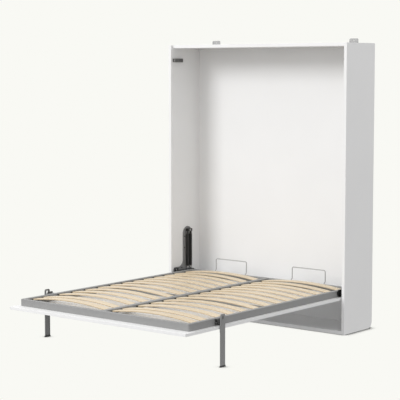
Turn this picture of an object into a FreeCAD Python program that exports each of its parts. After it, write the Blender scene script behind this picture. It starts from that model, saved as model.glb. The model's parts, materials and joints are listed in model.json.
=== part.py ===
import FreeCAD, Part
import math
import os

from FreeCAD import Vector

# A wall bed: a slatted steel bed frame that folds up into a shallow white cabinet.
# Millimetres. +Z is up and +Y points at the wall. The origin is the centre of the cabinet's
# base, on the floor. The model stands open, with the bed down on its two legs.
# "Right" is +X, the right-hand side of somebody who faces the cabinet.

# cabinet
cabinet_width = 1710.0
cabinet_height = 2170.0
cabinet_depth = 388.0
board = 25.0
back_board = 12.0
back_inset = 12.0
top_setback = 22.0
skirting_radius = 50.0
board_edge = 1.0
dowel_radius = 4.0
dowel_length = 36.0
dowel_in_side = 12.0
dowels_per_joint = 4
dowel_inset = 60.0
dowel_end_share = 10.0

# wall brackets on top of the cabinet
bracket_inset = 188.0
bracket_width = 80.0
bracket_rise = 39.0
bracket_reach = 42.0
bracket_sheet = 3.0
bracket_hole_radius = 4.0
bracket_hole_height = 22.0
bracket_corner = 12.0
bracket_screw_setback = 25.0
bracket_screw_spacing = 40.0

# front panel, which is under the bed while the bed is open
panel_thickness = 20.0
panel_underside = 257.0
panel_top_gap = 3.0
panel_bottom_gap = 16.0

# fold pivot
pivot_setback = 50.0
pivot_radius = 8.0
pivot_collar_radius = 14.0
pivot_collar = 5.0
bush_wall = 3.0
bush_length = 13.0
bush_flange = 3.0
bush_flange_radius = 15.0

# bed frame of steel tube
mechanism_space = 43.0
rail_width = 30.0
rail_height = 49.0
tube_wall = 2.0
frame_corner = 12.0
rail_edge = 2.5
frame_foot_inset = 75.0
frame_head_reach = 215.0
beam_width = 40.0
beam_height = 30.0
beam_edge = 2.0
cross_bar_width = 40.0

# slats and their holders
slat_width = 65.0
slat_thickness = 8.0
slat_crown = 28.0
slat_edge = 2.0
slat_head_margin = 74.0
slat_foot_margin = 88.0
slat_head_pitch = 143.0
slat_back_pitch = 125.0
slat_leg_pitch = 139.0
slat_foot_pitch = 103.0
slats_under_back = 5
slat_end_gap = 2.0
slat_drop = 17.0
holder_depth = 14.0
holder_below = 8.0
holder_height = 18.0
holder_cheek = 3.0
holder_edge = 1.0

# bed arms, which carry the frame on the pivots
arm_thickness = 6.0
arm_height = 50.0
arm_front_reach = 48.0
arm_back_reach = 200.0
arm_bolt_spacing = 42.0
arm_bolt_offset = 38.0

# gas springs, two side by side on each side
spring_setback = 207.0
spring_top_rise = 345.0
spring_foot_drop = 7.0
spring_spread = 37.5
spring_side_gap = 1.0
cylinder_radius = 11.5
cylinder_wall = 2.0
cylinder_length = 262.0
cylinder_drop = 34.0
cylinder_cap = 6.0
cylinder_edge = 1.5
gland_length = 12.0
rod_radius = 5.0
rod_length = 267.0
piston_radius = 8.2
piston_length = 12.0
yoke_thickness = 20.0
head_yoke_width = 57.0
head_yoke_height = 22.0
head_yoke_corner = 5.0
head_neck_radius = 6.0
foot_yoke_width = 48.0
foot_yoke_plate = 10.0
foot_yoke_corner = 2.5
foot_yoke_rise = 8.0
foot_boss_radius = 11.0
spring_pin_radius = 6.0
spring_pin_collar_radius = 10.0
foot_pin_radius = 5.0
pin_bite = 4.5
pin_gap = 0.4
clip_thickness = 2.0
clip_rim = 3.0
pin_end = 1.1
window_forward = 31.7
window_up = 9.3
window_down = 2.2
window_margin = 1.8

# hinge plates on the inner sides of the cabinet
plate_thickness = 4.0
plate_foot_front = 27.0
plate_foot_top = 46.0
plate_below = 32.0
plate_front = 146.0
plate_width = 115.0
plate_top_rise = 374.0
plate_tail = 55.0
plate_tail_top = 5.0
plate_sweep = 55.0
plate_corner = 14.0
plate_screw_inset = 20.0
plate_foot_screws = ((33.0, 34.0), (81.0, 37.0))
plate_front_screws = (198.0, 292.0)
plate_back_screws = (120.0, 280.0)
plate_tail_screw_rise = 20.0

# plastic covers round the pivot pins
cover_radius = 24.5
cover_rise = 21.0
cover_thickness = 9.0
cover_edge = 1.5
cover_web = 6.0
cover_screw_rise = 27.0

# legs
leg_inset = 305.0
leg_width = 50.0
leg_depth = 6.0
leg_sheet = 2.0
leg_above_pivot = 51.0
leg_pivot_rise = 28.0
leg_clearance = 2.5
leg_top_corner = 12.0
leg_edge = 1.2
leg_slot_width = 15.0
leg_slot_length = 26.0
leg_slot_below_top = 11.0
leg_slot_shift = 1.0
leg_foot_width = 60.0
leg_foot_height = 10.0
leg_foot_taper = 3.0
leg_foot_overlap = 0.5
leg_pin_radius = 6.0
leg_pin_head_radius = 10.0
leg_pin_head = 1.4
leg_pin_collar_radius = 10.0
leg_pin_collar_gap = 0.3
leg_pin_tail = 4.0
leg_lug_width = 8.0
leg_lug_height = 34.0
leg_lug_drop = 70.0
leg_lug_corner = 3.0

# brackets between the frame and the legs
ear_gap = 10.5
leg_bracket_sheet = 3.0
leg_bracket_front = 38.5
leg_bracket_back = 42.0
leg_bracket_bolt_inset = 16.0
leg_bracket_bolt_drop = 29.0
ear_height = 44.0
ear_lip = 6.0
ear_foot_front = 22.0
ear_hump_front = 14.0
ear_hump_slope = 6.0
ear_hump_rise = 12.0
ear_hump_corner = 6.0
ear_back_corner = 12.0

# push latches near the top of the cabinet sides
latch_length = 101.0
latch_height = 30.0
latch_width = 18.0
latch_drop = 107.0
latch_front = 32.0
latch_barrel_corner = 9.5
latch_block = 20.0
latch_block_edge = 1.5
latch_plate = 3.0
latch_plate_edge = 0.8
latch_plate_clearance = 0.5
latch_screw_insets = (10.0, 44.0)
latch_screw_bite = 11.0
plunger_radius = 6.0
plunger_length = 49.0
plunger_head_width = 12.0
plunger_head_height = 26.0
plunger_head = 4.0
plunger_edge = 1.5
plunger_gap = 0.6
plunger_travel = 4.0

# wire stops that keep the mattress off the cabinet back
stop_centre = 380.0
stop_width = 310.0
stop_rise = 106.0
wire_radius = 4.0
stop_corner = 14.0
stop_kink = 9.0
stop_inset = 11.0
stop_behind = 6.0
stop_stem = 3.0
stop_kink_rise = 17.0

# brackets that hold the front panel to the frame
angle_width = 40.0
angle_leg = 25.0
angle_height = 18.0
angle_sheet = 3.0
angles_per_side = 4
angle_inset = 190.0
angle_screw_reach = 15.0
angle_screw_rise = 11.0
angle_screw_length = 7.0

# fasteners and clearances
screw_radius = 2.5
screw_length = 20.0
screw_head_radius = 6.0
screw_head = 3.0
small_screw_radius = 2.0
small_screw_length = 14.0
small_head_radius = 4.0
small_head = 2.5
bolt_radius = 4.0
bolt_length = 9.0
bolt_head_radius = 7.0
bolt_head = 4.0
socket_share = 0.5
head_round_share = 0.4
running_clearance = 0.06
cut_margin = 1.0
flatness = 0.001
round_end_relief = 0.2
hole_clearance = 0.1
tip_clearance = 1.0
slat_clearance = 0.3

# places that follow from the sizes above
front = -cabinet_depth / 2
rear = cabinet_depth / 2
inner_x = cabinet_width / 2 - board
panel_half_width = inner_x - leg_depth - 2 * leg_clearance
panel_top = panel_underside + panel_thickness
pivot_y = front + pivot_setback
pivot_z = panel_underside + pivot_setback
panel_foot_y = pivot_y - (cabinet_height - panel_top_gap - pivot_z)
panel_head_y = pivot_y + (pivot_z - board - panel_bottom_gap)
frame_x = inner_x - mechanism_space
frame_foot_y = panel_foot_y + frame_foot_inset
frame_head_y = front + frame_head_reach
frame_top = panel_top + rail_height
rail_inner_x = frame_x - rail_width
inner_foot_y = frame_foot_y + rail_width
inner_head_y = frame_head_y - rail_width
beam_bottom = frame_top - beam_height
beam_x = beam_width / 2
arm_x = frame_x + arm_thickness
plate_x = inner_x - plate_thickness
spring_y = front + spring_setback
spring_top_z = pivot_z + spring_top_rise
spring_foot_z = pivot_z - spring_foot_drop
spring_x = plate_x - screw_head - spring_side_gap - cylinder_radius
yoke_low_x = spring_x - yoke_thickness / 2
yoke_high_x = spring_x + yoke_thickness / 2
foot_yoke_z = spring_foot_z + foot_yoke_rise
cylinder_top = spring_top_z - cylinder_drop
cylinder_bottom = cylinder_top - cylinder_length
leg_y = frame_foot_y + leg_inset
leg_pivot_z = panel_top + leg_pivot_rise
leg_x = inner_x - leg_clearance
leg_inner_x = leg_x - leg_depth
ear_x = leg_inner_x - ear_gap
slat_seat = frame_top - slat_drop
latch_top = cabinet_height - latch_drop
latch_z = latch_top - latch_height / 2
latch_x = inner_x - latch_width / 2
plunger_y = front + panel_thickness + plunger_gap

os.makedirs("parts", exist_ok=True)


def save(name, shapes):
    """Write one sub-part; a list of separate solids becomes one group."""
    shape = Part.makeCompound(shapes) if isinstance(shapes, list) else shapes
    shape.exportStep(f"parts/{name}.step")


def mirrored(shape):
    return shape.mirror(Vector(0, 0, 0), Vector(1, 0, 0))


def save_pair(name, shape):
    save(f"{name}_right", shape)
    save(f"{name}_left", mirrored(shape))


def both(shape):
    return [shape, mirrored(shape)]


def block(low_x, high_x, low_y, high_y, low_z, high_z):
    size = (high_x - low_x, high_y - low_y, high_z - low_z)
    return Part.makeBox(*size, Vector(low_x, low_y, low_z))


def soft_block(low_x, high_x, low_y, high_y, low_z, high_z, radius):
    shape = block(low_x, high_x, low_y, high_y, low_z, high_z)
    return shape.makeFillet(radius, shape.Edges)


def rod_between(start, end, radius):
    start, end = Vector(*start), Vector(*end)
    return Part.makeCylinder(radius, (end - start).Length, start, end - start)


def corner_arc(before, corner, after, radius):
    """The arc that rounds one corner of an outline."""
    inward, onward = (before - corner).normalize(), (after - corner).normalize()
    half_angle = inward.getAngle(onward) / 2
    reach = radius / math.tan(half_angle)
    centre = corner + (inward + onward).normalize() * (radius / math.sin(half_angle))
    middle = centre + (corner - centre).normalize() * radius
    return Part.Arc(corner + inward * reach, middle, corner + onward * reach)


def rounded_edges(points, radii, closed):
    """Straight runs joined by arcs, through the given corners."""
    count = len(points)
    arcs = []
    for index in range(count):
        if radii[index] > 0:
            before, after = points[index - 1], points[(index + 1) % count]
            arcs.append(corner_arc(before, points[index], after, radii[index]))
        else:
            arcs.append(None)
    edges = []
    for index in range(count if closed else count - 1):
        following = (index + 1) % count
        start = arcs[index].EndPoint if arcs[index] else points[index]
        end = arcs[following].StartPoint if arcs[following] else points[following]
        if (end - start).Length > flatness:
            edges.append(Part.LineSegment(start, end).toShape())
        if arcs[following]:
            edges.append(arcs[following].toShape())
    return edges


def side_plate(outline, low_x, high_x):
    """A flat plate that faces sideways. The outline's corners are (y, z, radius)."""
    points = [Vector(low_x, y, z) for y, z, _ in outline]
    edges = rounded_edges(points, [radius for _, _, radius in outline], True)
    return Part.Face(Part.Wire(edges)).extrude(Vector(high_x - low_x, 0, 0))


def screw(seat, direction, radius, length, head_radius, head):
    """A screw with a domed socket head. Its head rests on the seat and its tip points along direction."""
    seat, along = Vector(*seat), Vector(*direction)
    cap = Part.makeCylinder(head_radius, head, seat, -along)
    rim = [edge for edge in cap.Edges if edge.Closed and (edge.BoundBox.Center - seat).Length > head / 2]
    cap = cap.makeFillet(head * head_round_share, rim)
    socket = Part.makeCylinder(head_radius * socket_share, head * socket_share, seat - along * head, along)
    return cap.cut(socket).fuse(Part.makeCylinder(radius, length, seat, along)).removeSplitter()


def screw_hole(seat, direction, radius, length):
    seat, along = Vector(*seat), Vector(*direction)
    return Part.makeCylinder(radius + hole_clearance, length + tip_clearance, seat, along)


def plate_screw_seats():
    """Screws that hold the right hinge plate to the cabinet side."""
    spots = [(plate_foot_front + plate_screw_inset + y, z) for y, z in plate_foot_screws]
    spots += [(plate_front + plate_screw_inset, z) for z in plate_front_screws]
    spots += [(plate_front + plate_width - plate_screw_inset / 2, z) for z in plate_back_screws]
    tail_y = plate_front + plate_width + plate_tail - plate_screw_inset
    spots.append((tail_y, plate_tail_screw_rise - plate_below))
    return [(plate_x, front + y, pivot_z + z) for y, z in spots]


def cover_screw_seat():
    """The screw that holds the right pivot cover, through the hinge plate."""
    return (plate_x - cover_web, pivot_y, pivot_z + cover_screw_rise)


def bracket_screw_seats():
    """Screws that hold the right wall bracket to the top of the cabinet."""
    centre = cabinet_width / 2 - bracket_inset
    half = bracket_screw_spacing / 2
    return [(centre + offset, rear - bracket_screw_setback, cabinet_height + bracket_sheet)
            for offset in (-half, half)]


def latch_screw_seats():
    y = front + latch_front + latch_length
    return [(inner_x - latch_width, y - inset, latch_z) for inset in latch_screw_insets]


def angle_places():
    """The middle of each angle that holds the front panel, along the frame."""
    low, high = inner_foot_y + angle_inset, inner_head_y - angle_inset
    step = (high - low) / (angles_per_side - 1)
    return [low + index * step for index in range(angles_per_side)]


def angle_panel_seats():
    x = rail_inner_x - angle_screw_reach
    return [(x, y, panel_top + angle_sheet) for y in angle_places()]


def angle_rail_seats():
    z = panel_top + angle_screw_rise
    return [(rail_inner_x - angle_sheet, y, z) for y in angle_places()]


def arm_bolt_seats():
    return [(arm_x, pivot_y + arm_bolt_offset + index * arm_bolt_spacing, pivot_z) for index in range(2)]


def leg_bracket_bolt_seats():
    inset = leg_bracket_bolt_inset
    places = (leg_y - leg_bracket_front + inset, leg_y + leg_bracket_back - inset)
    return [(frame_x + leg_bracket_sheet, y, frame_top - leg_bracket_bolt_drop) for y in places]


def dowel_places():
    """The middle of each dowel at the top and bottom of the right side board."""
    low, high = front + dowel_inset, rear - back_inset - back_board - dowel_inset / 2
    step = (high - low) / (dowels_per_joint - 1)
    levels = (board / 2, cabinet_height - board / 2)
    return [(low + index * step, z) for z in levels for index in range(dowels_per_joint)]


def stop_feet():
    """Where the wires of the right mattress stop enter the head rail."""
    y = frame_head_y - stop_inset
    return [(stop_centre - stop_width / 2, y), (stop_centre + stop_width / 2, y)]


def dowel(y, z, clearance):
    start = inner_x + dowel_in_side + dowel_end_share * clearance
    end = inner_x + dowel_in_side - dowel_length - dowel_end_share * clearance
    return rod_between((start, y, z), (end, y, z), dowel_radius + clearance)


def dowel_holes():
    return [dowel(y, z, hole_clearance) for y, z in dowel_places()]


def make_side_panel():
    outline = [
        (front, 0, 0), (rear, 0, skirting_radius), (rear, cabinet_height, 0), (front, cabinet_height, 0),
    ]
    shape = side_plate(outline, inner_x, inner_x + board)
    shape = shape.makeFillet(board_edge, shape.Edges)
    cutters = dowel_holes()
    cutters += [screw_hole(seat, (1, 0, 0), screw_radius, screw_length) for seat in plate_screw_seats()]
    cutters.append(screw_hole(cover_screw_seat(), (1, 0, 0), screw_radius, screw_length))
    cutters += [screw_hole(seat, (1, 0, 0), small_screw_radius, latch_width + latch_screw_bite)
                for seat in latch_screw_seats()]
    return shape.cut(cutters)


def make_top_panel():
    shape = soft_block(-inner_x, inner_x, front + top_setback, rear,
                       cabinet_height - board, cabinet_height, board_edge)
    cutters = []
    for hole in dowel_holes():
        cutters += both(hole)
    for seat in bracket_screw_seats():
        cutters += both(screw_hole(seat, (0, 0, -1), screw_radius, screw_length))
    return shape.cut(cutters)


def skirting_space():
    """The room for the skirting along the foot of the wall, which the cabinet's rear edge curves over."""
    low_y = rear - skirting_radius
    corner = block(-inner_x, inner_x, low_y, rear + cut_margin, -cut_margin, skirting_radius)
    drum = rod_between((-inner_x, low_y, skirting_radius), (inner_x, low_y, skirting_radius), skirting_radius)
    return corner.cut(drum)


def make_bottom_panel():
    shape = soft_block(-inner_x, inner_x, front, rear - back_inset - back_board, 0, board, board_edge)
    cutters = [skirting_space()]
    for hole in dowel_holes():
        cutters += both(hole)
    return shape.cut(cutters)


def make_back_panel():
    back = rear - back_inset
    shape = block(-inner_x, inner_x, back - back_board, back, 0, cabinet_height - board)
    return shape.cut(skirting_space())


def make_wall_bracket():
    centre = cabinet_width / 2 - bracket_inset
    low, high = centre - bracket_width / 2, centre + bracket_width / 2
    upright = block(low, high, rear - bracket_sheet, rear, cabinet_height, cabinet_height + bracket_rise)
    top = [edge for edge in upright.Edges
           if edge.BoundBox.ZMin > cabinet_height + bracket_rise - 1 and edge.BoundBox.YLength > 1]
    upright = upright.makeFillet(bracket_corner, top)
    flange = block(low, high, rear - bracket_reach, rear, cabinet_height, cabinet_height + bracket_sheet)
    hole_z = cabinet_height + bracket_hole_height
    hole = rod_between((centre, rear - bracket_sheet - cut_margin, hole_z),
                       (centre, rear + cut_margin, hole_z),
                       bracket_hole_radius)
    holes = [hole]
    for x, y, z in bracket_screw_seats():
        holes.append(screw_hole((x, y, z + tip_clearance), (0, 0, -1), screw_radius, 2 * bracket_sheet))
    return upright.fuse(flange).removeSplitter().cut(holes)


def make_hinge_plate():
    tall_back = plate_front + plate_width
    tail_back = tall_back + plate_tail
    top_radius = plate_width / 2 - round_end_relief
    corners = [
        (plate_foot_front, -plate_below, plate_corner),
        (tail_back, -plate_below, plate_corner),
        (tail_back, plate_tail_top, plate_corner),
        (tall_back, plate_tail_top, plate_corner),
        (tall_back, plate_top_rise, top_radius),
        (plate_front, plate_top_rise, top_radius),
        (plate_front, plate_foot_top, plate_sweep),
        (plate_foot_front, plate_foot_top, plate_corner),
    ]
    outline = [(front + y, pivot_z + z, radius) for y, z, radius in corners]
    shape = side_plate(outline, plate_x, inner_x)
    holes = [
        rod_between((plate_x - cut_margin, pivot_y, pivot_z), (inner_x + cut_margin, pivot_y, pivot_z),
                    pivot_radius + hole_clearance),
        rod_between((plate_x - cut_margin, spring_y, spring_top_z),
                    (inner_x + cut_margin, spring_y, spring_top_z),
                    spring_pin_radius + hole_clearance),
        screw_hole(cover_screw_seat(), (1, 0, 0), screw_radius, cover_web + plate_thickness),
    ]
    holes += [screw_hole(seat, (1, 0, 0), screw_radius, plate_thickness) for seat in plate_screw_seats()]
    return shape.cut(holes)


def make_pivot_pin():
    """The shoulder pin that the bed turns on. Its collar rests on the hinge plate."""
    pin = rod_between((frame_x + tube_wall, pivot_y, pivot_z), (inner_x, pivot_y, pivot_z), pivot_radius)
    collar = rod_between((plate_x - pivot_collar, pivot_y, pivot_z), (plate_x, pivot_y, pivot_z),
                         pivot_collar_radius)
    return pin.fuse(collar).removeSplitter()


def make_pivot_cover():
    """A rounded plastic cap round the pivot pin's collar, held by one sunk screw."""
    low_x = plate_x - cover_thickness
    radius = cover_radius - round_end_relief
    low_z, high_z = pivot_z - cover_radius, pivot_z + cover_rise + cover_radius
    shape = side_plate([(pivot_y - cover_radius, low_z, radius), (pivot_y + cover_radius, low_z, radius),
                        (pivot_y + cover_radius, high_z, radius), (pivot_y - cover_radius, high_z, radius)],
                       low_x, plate_x)
    rim = [edge for edge in shape.Edges if edge.BoundBox.XMax < low_x + cut_margin]
    shape = shape.makeFillet(cover_edge, rim)
    seat = cover_screw_seat()
    well = rod_between((low_x - cut_margin, seat[1], seat[2]), seat, screw_head_radius + hole_clearance)
    bore = rod_between((low_x - cut_margin, pivot_y, pivot_z), (plate_x + cut_margin, pivot_y, pivot_z),
                       pivot_collar_radius + hole_clearance)
    return shape.cut([well, bore, screw_hole(seat, (1, 0, 0), screw_radius, cover_web)])


def make_spring_top_pin():
    """The pin that carries a pair of springs, with a spacer against the plate and a clip at its free end."""
    clip_x = yoke_low_x - pin_gap
    pin = rod_between((clip_x - clip_thickness - pin_end, spring_y, spring_top_z),
                      (inner_x, spring_y, spring_top_z), spring_pin_radius)
    spacer = rod_between((yoke_high_x + pin_gap, spring_y, spring_top_z), (plate_x, spring_y, spring_top_z),
                         spring_pin_collar_radius)
    clip = rod_between((clip_x - clip_thickness, spring_y, spring_top_z), (clip_x, spring_y, spring_top_z),
                       spring_pin_radius + clip_rim)
    return pin.fuse([spacer, clip]).removeSplitter()


def make_latch_body():
    """A rounded housing with a square block at its rear end, screwed to the cabinet side."""
    low_x, low_y = inner_x - latch_width, front + latch_front
    high_y = low_y + latch_length
    block_y = high_y - latch_block
    barrel = block(low_x, inner_x, low_y, block_y + cut_margin, latch_top - latch_height, latch_top)
    long_edges = [edge for edge in barrel.Edges
                  if edge.BoundBox.XMax < inner_x - 1 and edge.BoundBox.YLength > 1]
    barrel = barrel.makeFillet(latch_barrel_corner, long_edges)
    end = block(low_x, inner_x, block_y, high_y, latch_top - latch_height, latch_top)
    end_edges = [edge for edge in end.Edges if edge.BoundBox.XMax < inner_x - 1]
    end = end.makeFillet(latch_block_edge, end_edges)
    bore_end = plunger_y + plunger_length + plunger_travel + tip_clearance
    bore = rod_between((latch_x, low_y - cut_margin, latch_z), (latch_x, bore_end, latch_z),
                       plunger_radius + running_clearance)
    holes = [screw_hole(seat, (1, 0, 0), small_screw_radius, latch_width) for seat in latch_screw_seats()]
    return barrel.fuse(end).removeSplitter().cut([bore] + holes)


def make_latch_plate():
    """The metal plate on the front of the latch, which the stem passes through."""
    low_y = front + latch_front
    plate = soft_block(inner_x - latch_width, inner_x, low_y - latch_plate, low_y,
                       latch_top - latch_height, latch_top, latch_plate_edge)
    hole = rod_between((latch_x, low_y - latch_plate - cut_margin, latch_z),
                       (latch_x, low_y + cut_margin, latch_z),
                       plunger_radius + latch_plate_clearance)
    return plate.cut(hole)


def make_latch_plunger():
    """A stem with an upright oblong head, which the closed bed pushes in."""
    half_width, half_height = plunger_head_width / 2, plunger_head_height / 2
    stem = rod_between((latch_x, plunger_y + plunger_edge, latch_z),
                       (latch_x, plunger_y + plunger_length, latch_z), plunger_radius)
    head = soft_block(latch_x - half_width, latch_x + half_width, plunger_y, plunger_y + plunger_head,
                      latch_z - half_height, latch_z + half_height, plunger_edge)
    return head.fuse(stem).removeSplitter()


def make_frame_ring():
    """The welded ring of rectangular tube, before it is parted into its four rails."""
    outer = block(-frame_x, frame_x, frame_foot_y, frame_head_y, panel_top, frame_top)
    uprights = [edge for edge in outer.Edges if edge.BoundBox.ZLength > 1]
    outer = outer.makeFillet(frame_corner, uprights)
    inner = block(-rail_inner_x, rail_inner_x, inner_foot_y, inner_head_y,
                  panel_top - cut_margin, frame_top + cut_margin)
    ring = outer.cut(inner)
    flat = [edge for edge in ring.Edges if edge.BoundBox.ZLength < flatness]
    ring = ring.makeFillet(rail_edge, flat)
    wall = tube_wall
    hollow_outer = block(-frame_x + wall, frame_x - wall, frame_foot_y + wall, frame_head_y - wall,
                         panel_top + wall, frame_top - wall)
    uprights = [edge for edge in hollow_outer.Edges if edge.BoundBox.ZLength > 1]
    hollow_outer = hollow_outer.makeFillet(frame_corner - wall, uprights)
    hollow_inner = block(-rail_inner_x - wall, rail_inner_x + wall, inner_foot_y - wall, inner_head_y + wall,
                         panel_top, frame_top)
    return ring.cut(hollow_outer.cut(hollow_inner))


def mitred(ring, corners):
    """The part of the ring over a mitred outline, given as (x, y) corners."""
    points = [Vector(x, y, panel_top - cut_margin) for x, y in corners]
    face = Part.Face(Part.makePolygon(points + points[:1]))
    return ring.common(face.extrude(Vector(0, 0, rail_height + 2 * cut_margin)))


def make_side_rail(ring):
    corners = [(frame_x, frame_foot_y), (frame_x, frame_head_y),
               (rail_inner_x, inner_head_y), (rail_inner_x, inner_foot_y)]
    holes = [screw_hole(seat, (1, 0, 0), small_screw_radius, angle_screw_length)
             for seat in angle_rail_seats()]
    for x, y, z in arm_bolt_seats() + leg_bracket_bolt_seats():
        holes.append(screw_hole((x, y, z), (-1, 0, 0), bolt_radius, bolt_length))
    return mitred(ring, corners).cut(holes)


def make_end_rail(ring, outer_y, inner_y):
    corners = [(-frame_x, outer_y), (frame_x, outer_y), (rail_inner_x, inner_y), (-rail_inner_x, inner_y)]
    return mitred(ring, corners)


def make_head_rail(ring):
    holes = []
    for x, y in stop_feet():
        holes += both(rod_between((x, y, frame_top - 2 * tube_wall), (x, y, frame_top + cut_margin),
                                  wire_radius + hole_clearance))
    return make_end_rail(ring, frame_head_y, inner_head_y).cut(holes)


def tube(low_x, high_x, low_y, high_y, low_z, high_z, along):
    """A straight rectangular tube, open at both ends, that runs along X or Y."""
    shape = block(low_x, high_x, low_y, high_y, low_z, high_z)
    wall = tube_wall
    if along == "x":
        long_edges = [edge for edge in shape.Edges if edge.BoundBox.XLength > high_x - low_x - cut_margin]
        inside = block(low_x - cut_margin, high_x + cut_margin, low_y + wall, high_y - wall,
                       low_z + wall, high_z - wall)
    else:
        long_edges = [edge for edge in shape.Edges if edge.BoundBox.YLength > high_y - low_y - cut_margin]
        inside = block(low_x + wall, high_x - wall, low_y - cut_margin, high_y + cut_margin,
                       low_z + wall, high_z - wall)
    return shape.makeFillet(beam_edge, long_edges).cut(inside)


def make_centre_beam():
    return tube(-beam_x, beam_x, inner_foot_y, inner_head_y, beam_bottom, frame_top, "y")


def make_cross_bar():
    middle = (frame_foot_y + frame_head_y) / 2
    half = cross_bar_width / 2
    return tube(-rail_inner_x, rail_inner_x, middle - half, middle + half, panel_top, beam_bottom, "x")


def slat_places():
    """The centre line of each slat, from the head to the foot. They lie closest under the back."""
    places = [inner_head_y - slat_head_margin]
    places.append(places[0] - slat_head_pitch)
    for _ in range(slats_under_back):
        places.append(places[-1] - slat_back_pitch)
    last = inner_foot_y + slat_foot_margin
    while places[-1] - slat_leg_pitch > last + 2 * slat_foot_pitch:
        places.append(places[-1] - slat_leg_pitch)
    return places + [last + slat_foot_pitch, last]


def make_slat(centre_y):
    """One springy slat, bowed upwards between the centre beam and the right rail."""
    low_x, high_x = beam_x + slat_end_gap, rail_inner_x - slat_end_gap
    middle_x, half_span = (low_x + high_x) / 2, (high_x - low_x) / 2
    bow_radius = (half_span ** 2 + slat_crown ** 2) / (2 * slat_crown)
    half_angle = math.degrees(math.asin(half_span / bow_radius))
    bow_centre = Vector(middle_x, centre_y, slat_seat + slat_crown - bow_radius)
    low_y, high_y = centre_y - slat_width / 2, centre_y + slat_width / 2
    low_z = slat_seat + slat_crown
    high_z = low_z + slat_thickness
    corners = [Vector(middle_x, y, z)
               for y, z in ((low_y, low_z), (high_y, low_z), (high_y, high_z), (low_y, high_z))]
    section = Part.Face(Part.Wire(rounded_edges(corners, [slat_edge] * 4, True)))
    section.rotate(bow_centre, Vector(0, 1, 0), -half_angle)
    return section.revolve(bow_centre, Vector(0, 1, 0), 2 * half_angle)


def make_slat_holder(centre_y, wall_x, direction):
    """A black saddle on a rail, which one slat end lies in."""
    low_x, high_x = sorted((wall_x, wall_x + direction * holder_depth))
    half = slat_width / 2 + slat_clearance + holder_cheek
    low_z = slat_seat - holder_below
    body = soft_block(low_x, high_x, centre_y - half, centre_y + half,
                      low_z, low_z + holder_height, holder_edge)
    room = slat_width / 2 + slat_clearance
    seat = block(low_x - cut_margin, high_x + cut_margin, centre_y - room, centre_y + room,
                 slat_seat - slat_clearance, low_z + holder_height + cut_margin)
    return body.cut(seat)


def make_front_panel():
    shape = soft_block(-panel_half_width, panel_half_width, panel_foot_y, panel_head_y,
                       panel_underside, panel_top, board_edge)
    holes = []
    for seat in angle_panel_seats():
        holes += both(screw_hole(seat, (0, 0, -1), small_screw_radius, small_screw_length))
    return shape.cut(holes)


def make_angle(centre_y):
    half = angle_width / 2
    foot = block(rail_inner_x - angle_leg, rail_inner_x, centre_y - half, centre_y + half,
                 panel_top, panel_top + angle_sheet)
    upright = block(rail_inner_x - angle_sheet, rail_inner_x, centre_y - half, centre_y + half,
                    panel_top, panel_top + angle_height)
    return foot.fuse(upright).removeSplitter()


def make_angles():
    holes = [screw_hole(seat, (0, 0, -1), small_screw_radius, angle_sheet) for seat in angle_panel_seats()]
    holes += [screw_hole(seat, (1, 0, 0), small_screw_radius, angle_sheet) for seat in angle_rail_seats()]
    angles = []
    for y in angle_places():
        angles += both(make_angle(y).cut(holes))
    return angles


def make_bed_arm():
    """The flat bar on the rail's outer side. Its window gives the springs' lower pin room to travel."""
    low_z, high_z = pivot_z - arm_height / 2, pivot_z + arm_height / 2
    end_radius = arm_height / 2 - round_end_relief
    outline = [
        (pivot_y - arm_front_reach, low_z, end_radius), (pivot_y + arm_back_reach, low_z, end_radius),
        (pivot_y + arm_back_reach, high_z, end_radius), (pivot_y - arm_front_reach, high_z, end_radius),
    ]
    arm = side_plate(outline, frame_x, arm_x)
    reach = foot_pin_radius + window_margin
    low_y, high_y = spring_y - window_forward - reach, spring_y + reach
    window_low, window_high = spring_foot_z - window_down - reach, spring_foot_z + window_up + reach
    low_x, high_x = frame_x - cut_margin, arm_x + cut_margin
    window = side_plate([(low_y, window_low, foot_pin_radius), (high_y, window_low, foot_pin_radius),
                         (high_y, window_high, foot_pin_radius), (low_y, window_high, foot_pin_radius)],
                        low_x, high_x)
    holes = [window, rod_between((low_x, pivot_y, pivot_z), (high_x, pivot_y, pivot_z),
                                 pivot_radius + bush_wall + hole_clearance)]
    holes += [screw_hole(seat, (-1, 0, 0), bolt_radius, arm_thickness) for seat in arm_bolt_seats()]
    return arm.cut(holes)


def make_pivot_bush():
    sleeve = rod_between((frame_x, pivot_y, pivot_z), (frame_x + bush_length, pivot_y, pivot_z),
                         pivot_radius + bush_wall)
    flange = rod_between((arm_x, pivot_y, pivot_z), (arm_x + bush_flange, pivot_y, pivot_z),
                         bush_flange_radius)
    bore = rod_between((frame_x - cut_margin, pivot_y, pivot_z),
                       (frame_x + bush_length + cut_margin, pivot_y, pivot_z),
                       pivot_radius + running_clearance)
    return sleeve.fuse(flange).removeSplitter().cut(bore)


def make_mattress_stop():
    """An inverted U of round wire. Its feet kink forwards into the top of the head rail."""
    (left_x, foot_y), (right_x, _) = stop_feet()
    back_y = frame_head_y + stop_behind
    low_z = frame_top - tube_wall
    top_z = frame_top + stop_rise
    half = [(foot_y, low_z), (foot_y, frame_top + stop_stem), (back_y, frame_top + stop_kink_rise)]
    points = [Vector(left_x, y, z) for y, z in half]
    points += [Vector(left_x, back_y, top_z), Vector(right_x, back_y, top_z)]
    points += [Vector(right_x, y, z) for y, z in reversed(half)]
    radii = [0, stop_kink, stop_kink, stop_corner, stop_corner, stop_kink, stop_kink, 0]
    path = Part.Wire(rounded_edges(points, radii, False))
    section = Part.Wire(Part.Circle(points[0], Vector(0, 0, 1), wire_radius).toShape())
    return path.makePipeShell([section], True, True)


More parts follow.
